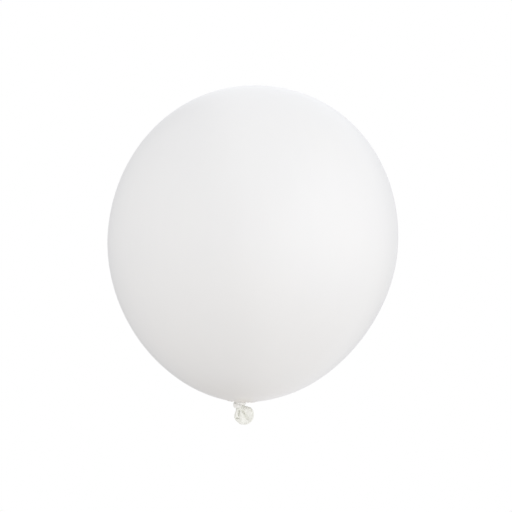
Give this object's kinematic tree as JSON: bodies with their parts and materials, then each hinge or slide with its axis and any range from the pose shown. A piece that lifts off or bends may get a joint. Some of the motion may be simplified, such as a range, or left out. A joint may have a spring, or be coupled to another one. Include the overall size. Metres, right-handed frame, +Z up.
{
  "type": "latex balloon",
  "caption": "Inflated latex party balloon: egg-shaped bag, gathered neck, overhand knot and a flared mouth with a rolled lip.",
  "frame": {"origin": "on the balloon's axis, level with the lowest ring of the bag, where a ribbon is tied round the neck", "axes": "+Z up the balloon from the knot to the crown, +Y away from the viewer, +X towards the side that the flared mouth hangs to"},
  "size_m": [0.2798, 0.2798, 0.3281],
  "materials": {
    "inflated_latex": "satin",
    "gathered_latex": "satin",
    "slack_latex": "satin"
  },
  "bodies": {
    "bag": {"envelope": "inflated_latex"},
    "gathered_neck": {"neck": "gathered_latex"},
    "knot": {"knot_core": "gathered_latex", "knot_wrap": "gathered_latex"},
    "mouth": {"tail": "slack_latex", "rolled_lip": "slack_latex"}
  },
  "joints": [
    {"name": "neck_twist", "type": "hinge", "parent": "bag", "child": "gathered_neck", "pos_m": [0, 0, 0], "axis": [0, 0, 1], "range_deg": [-90, 90], "stiffness_Nm_per_rad": 0.0003},
    {"name": "knot_tilt", "type": "hinge", "parent": "gathered_neck", "child": "knot", "pos_m": [0, 0, -0.001], "axis": [0, 1, 0], "range_deg": [-25, 25], "stiffness_Nm_per_rad": 0.0005},
    {"name": "mouth_flap", "type": "hinge", "parent": "knot", "child": "mouth", "pos_m": [0, 0, -0.0062], "axis": [0.866, 0, 0.5], "range_deg": [-45, 45], "stiffness_Nm_per_rad": 0.0002}
  ]
}
